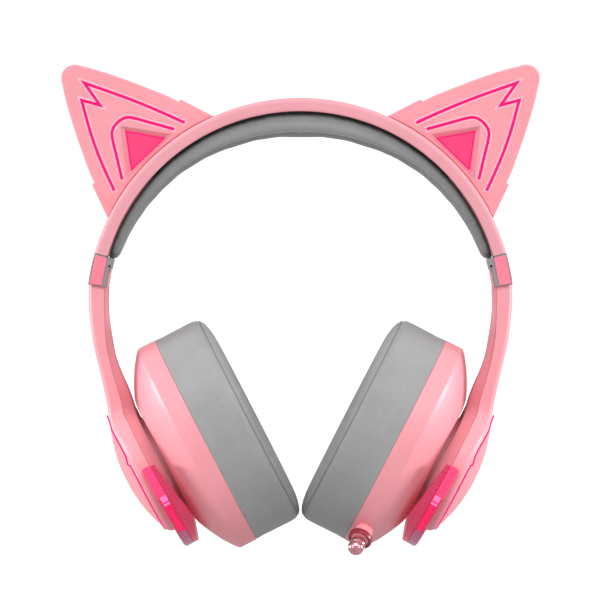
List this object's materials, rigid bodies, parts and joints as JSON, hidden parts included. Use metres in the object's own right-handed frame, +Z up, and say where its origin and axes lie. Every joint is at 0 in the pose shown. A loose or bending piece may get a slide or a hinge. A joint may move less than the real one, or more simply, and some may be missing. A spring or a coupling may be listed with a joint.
{
  "type": "gaming headset",
  "caption": "Over-ear headset with clip-on cat ears, lit outlines, sliding arms, tilting padded cups and a pull-out microphone.",
  "frame": {"origin": "middle of the headband pad's underside, where the pad rests on the top of the head", "axes": "+Z up, away from the head; the wearer looks along -Y; -X is the wearer's right"},
  "size_m": [0.2148, 0.0852, 0.2202],
  "materials": {
    "shell_pink": "satin moulded",
    "trim_pink": "satin moulded",
    "insert_pink": "semi-gloss",
    "block_grey": "fine texture",
    "leatherette": "soft fine-grained leatherette over foam",
    "scrim_cloth": "fine acoustic mesh",
    "dark_plastic": "fine texture",
    "steel": "brushed",
    "light_line": "lit light guide",
    "light_lens": "translucent, lit from inside",
    "board_green": "solder mask",
    "battery_foil": "foil pouch",
    "collar_crimson": "semi-gloss",
    "tip_metal": "polished anodised"
  },
  "bodies": {
    "headband": {"headband_shell": "shell_pink", "headband_spring": "steel", "headband_liner": "dark_plastic", "headband_pad": "leatherette", "right_ear_front_shell": "shell_pink", "right_ear_back_shell": "shell_pink", "right_ear_shoe": "trim_pink", "right_ear_outer_light_line": "light_line", "right_ear_inner_light_line": "light_line", "right_ear_window_lens": "light_lens", "right_ear_led_board": "board_green", "left_ear_front_shell": "shell_pink", "left_ear_back_shell": "shell_pink", "left_ear_shoe": "trim_pink", "left_ear_outer_light_line": "light_line", "left_ear_inner_light_line": "light_line", "left_ear_window_lens": "light_lens", "left_ear_led_board": "board_green"},
    "right_arm": {"right_slider_strip": "steel", "right_hinge_block": "block_grey", "right_front_insert": "insert_pink", "right_rear_insert": "insert_pink", "right_hinge_pin": "steel", "right_arm_outer_shell": "shell_pink", "right_arm_inner_cover": "trim_pink", "right_light_bar": "light_lens", "right_disc_light_line": "light_line"},
    "right_gimbal": {"right_pivot_cross": "steel"},
    "right_cup": {"right_cup_housing": "shell_pink", "right_baffle": "dark_plastic", "right_driver": "dark_plastic", "right_scrim": "scrim_cloth", "right_ear_cushion": "leatherette", "battery": "battery_foil"},
    "left_arm": {"left_slider_strip": "steel", "left_hinge_block": "block_grey", "left_front_insert": "insert_pink", "left_rear_insert": "insert_pink", "left_hinge_pin": "steel", "left_arm_outer_shell": "shell_pink", "left_arm_inner_cover": "trim_pink", "left_light_bar": "light_lens", "left_disc_light_line": "light_line"},
    "left_gimbal": {"left_pivot_cross": "steel"},
    "left_cup": {"left_cup_housing": "shell_pink", "left_baffle": "dark_plastic", "left_driver": "dark_plastic", "left_scrim": "scrim_cloth", "left_ear_cushion": "leatherette", "mic_collar": "collar_crimson", "port_plate": "dark_plastic", "usb_socket": "steel", "audio_socket": "dark_plastic", "main_board": "board_green"},
    "microphone": {"mic_boom": "dark_plastic", "mic_tip": "tip_metal"},
    "power_button": {"power_button": "trim_pink"},
    "volume_up_button": {"volume_up_button": "trim_pink"},
    "volume_down_button": {"volume_down_button": "trim_pink"},
    "mode_button": {"mode_button": "trim_pink"}
  },
  "joints": [
    {"name": "right_slider", "type": "slide", "parent": "headband", "child": "right_arm", "axis": [-0.279, 0, -0.9603], "range_m": [0, 0.02]},
    {"name": "right_cup_tilt", "type": "hinge", "parent": "right_arm", "child": "right_gimbal", "pos_m": [-0.05734, 0, -0.14448], "axis": [0, 1, 0], "range_deg": [0, 3]},
    {"name": "right_cup_turn", "type": "hinge", "parent": "right_gimbal", "child": "right_cup", "pos_m": [-0.05734, 0, -0.14448], "axis": [0.4571, 0, -0.8894], "range_deg": [-4, 4]},
    {"name": "left_slider", "type": "slide", "parent": "headband", "child": "left_arm", "axis": [0.279, 0, -0.9603], "range_m": [0, 0.02]},
    {"name": "left_cup_tilt", "type": "hinge", "parent": "left_arm", "child": "left_gimbal", "pos_m": [0.05734, 0, -0.14448], "axis": [0, -1, 0], "range_deg": [0, 3]},
    {"name": "left_cup_turn", "type": "hinge", "parent": "left_gimbal", "child": "left_cup", "pos_m": [0.05734, 0, -0.14448], "axis": [-0.4571, 0, -0.8894], "range_deg": [-4, 4]},
    {"name": "microphone_slide", "type": "slide", "parent": "left_cup", "child": "microphone", "axis": [-0.3431, -0.6606, -0.6677], "range_m": [0, 0.05]},
    {"name": "power_button_press", "type": "slide", "parent": "left_cup", "child": "power_button", "axis": [-0.1724, -0.9261, -0.3355], "range_m": [0, 0.0008], "stiffness_N_per_m": 1200, "springref_m": -0.0004},
    {"name": "volume_up_button_press", "type": "slide", "parent": "left_cup", "child": "volume_up_button", "axis": [-0.0533, -0.9932, -0.1037], "range_m": [0, 0.0008], "stiffness_N_per_m": 1200, "springref_m": -0.0004},
    {"name": "volume_down_button_press", "type": "slide", "parent": "left_cup", "child": "volume_down_button", "axis": [0.0533, -0.9932, 0.1037], "range_m": [0, 0.0008], "stiffness_N_per_m": 1200, "springref_m": -0.0004},
    {"name": "mode_button_press", "type": "slide", "parent": "left_cup", "child": "mode_button", "axis": [0.1724, -0.9261, 0.3355], "range_m": [0, 0.0008], "stiffness_N_per_m": 1200, "springref_m": -0.0004}
  ]
}
